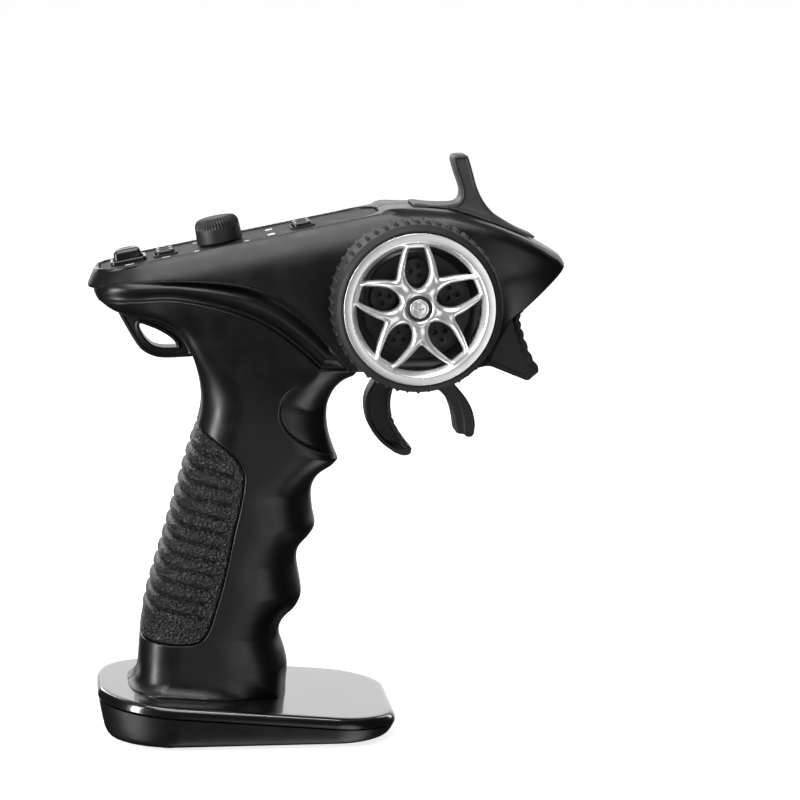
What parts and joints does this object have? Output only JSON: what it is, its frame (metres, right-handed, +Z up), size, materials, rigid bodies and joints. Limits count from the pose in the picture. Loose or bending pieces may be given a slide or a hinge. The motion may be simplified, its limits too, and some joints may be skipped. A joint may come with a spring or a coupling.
{
  "type": "radio control transmitter",
  "caption": "Pistol-grip radio transmitter with a turning steering wheel, sprung throttle trigger, ribbed grip, sloping control panel and wide base.",
  "frame": {"origin": "middle of the whole object's box, on the surface that its feet stand on", "axes": "+X the way the pistol points, +Z up, steering wheel on the -Y side"},
  "size_m": [0.146, 0.086, 0.1782],
  "materials": {
    "shell_plastic": "fine moulded satin black",
    "panel_plastic": "satin dark grey",
    "gloss_plastic": "polished piano black",
    "dark_plastic": "matt moulded black",
    "grip_rubber": "leather-grained ribbed rubber",
    "tyre_rubber": "soft dark grey rubber with tread lugs",
    "silver_metal": "satin silver plating",
    "steel": "bright zinc",
    "brass": "turned",
    "circuit_board": "green solder mask",
    "lamp": "white light guide",
    "cell_label": "plain printed sleeve"
  },
  "bodies": {
    "casing": {"left_shell": "shell_plastic", "right_shell": "shell_plastic", "shell_screw_1": "steel", "shell_screw_2": "steel", "shell_screw_3": "steel", "shell_screw_4": "steel", "grip_pad": "grip_rubber", "antenna_cover": "panel_plastic", "front_guard": "dark_plastic", "lanyard_loop": "shell_plastic", "base_cover": "gloss_plastic", "base_tray": "shell_plastic", "foot_pad_1": "grip_rubber", "foot_pad_2": "grip_rubber", "foot_pad_3": "grip_rubber", "foot_pad_4": "grip_rubber", "base_screw_1": "steel", "base_screw_2": "steel", "base_screw_3": "steel", "base_screw_4": "steel", "wheel_pod": "shell_plastic", "steering_bush": "brass", "steering_spring": "steel", "steering_pot": "dark_plastic", "trigger_axle": "steel", "trigger_spring": "steel", "trigger_pot": "dark_plastic", "main_board": "circuit_board", "radio_module": "steel", "antenna_element": "brass", "control_panel": "panel_plastic", "panel_board": "circuit_board", "power_frame": "gloss_plastic", "power_switch": "dark_plastic", "dial_pot": "dark_plastic", "trim_switch_1": "dark_plastic", "trim_switch_2": "dark_plastic", "trim_switch_3": "dark_plastic", "trim_switch_4": "dark_plastic", "lamp_window_1": "lamp", "lamp_window_2": "lamp", "battery_holder": "dark_plastic", "battery_cell_1": "cell_label", "battery_cell_2": "cell_label", "battery_cell_3": "cell_label", "battery_cell_4": "cell_label"},
    "steering_wheel": {"wheel_rim": "silver_metal", "wheel_tyre": "tyre_rubber", "wheel_hub": "dark_plastic", "wheel_screw": "silver_metal", "steering_shaft": "steel", "steering_lever": "dark_plastic"},
    "trigger": {"throttle_trigger": "dark_plastic"},
    "dial": {"dial_knob": "dark_plastic"},
    "power": {"power_button": "gloss_plastic"},
    "door": {"battery_door": "shell_plastic"},
    "steering_trim_right_key": {"steering_trim_right": "gloss_plastic"},
    "steering_trim_left_key": {"steering_trim_left": "gloss_plastic"},
    "throttle_trim_down_key": {"throttle_trim_down": "gloss_plastic"},
    "throttle_trim_up_key": {"throttle_trim_up": "gloss_plastic"}
  },
  "joints": [
    {"name": "steering", "type": "hinge", "parent": "casing", "child": "steering_wheel", "pos_m": [0.0234, -0.043, 0.137], "axis": [0, 1, 0], "range_deg": [-38, 38], "stiffness_Nm_per_rad": 0.08},
    {"name": "throttle", "type": "hinge", "parent": "casing", "child": "trigger", "pos_m": [0.027, 0.01, 0.124], "axis": [0, 1, 0], "range_deg": [-10, 20], "stiffness_Nm_per_rad": 0.12},
    {"name": "dial_turn", "type": "hinge", "parent": "casing", "child": "dial", "pos_m": [-0.03225, 0.01, 0.15171], "axis": [-0.1914, 0, 0.9815], "range_deg": [-140, 140]},
    {"name": "power_press", "type": "slide", "parent": "casing", "child": "power", "axis": [0.1914, 0, -0.9815], "range_m": [0, 0.0013], "stiffness_N_per_m": 500, "springref_m": -0.001},
    {"name": "steering_trim_right_press", "type": "slide", "parent": "casing", "child": "steering_trim_right_key", "axis": [0.1914, 0, -0.9815], "range_m": [0, 0.0006], "stiffness_N_per_m": 600, "springref_m": -0.0008},
    {"name": "steering_trim_left_press", "type": "slide", "parent": "casing", "child": "steering_trim_left_key", "axis": [0.1914, 0, -0.9815], "range_m": [0, 0.0006], "stiffness_N_per_m": 600, "springref_m": -0.0008},
    {"name": "throttle_trim_down_press", "type": "slide", "parent": "casing", "child": "throttle_trim_down_key", "axis": [0.1914, 0, -0.9815], "range_m": [0, 0.0006], "stiffness_N_per_m": 600, "springref_m": -0.0008},
    {"name": "throttle_trim_up_press", "type": "slide", "parent": "casing", "child": "throttle_trim_up_key", "axis": [0.1914, 0, -0.9815], "range_m": [0, 0.0006], "stiffness_N_per_m": 600, "springref_m": -0.0008},
    {"name": "door_slide", "type": "slide", "parent": "casing", "child": "door", "axis": [-1, 0, 0], "range_m": [0, 0.03]}
  ]
}
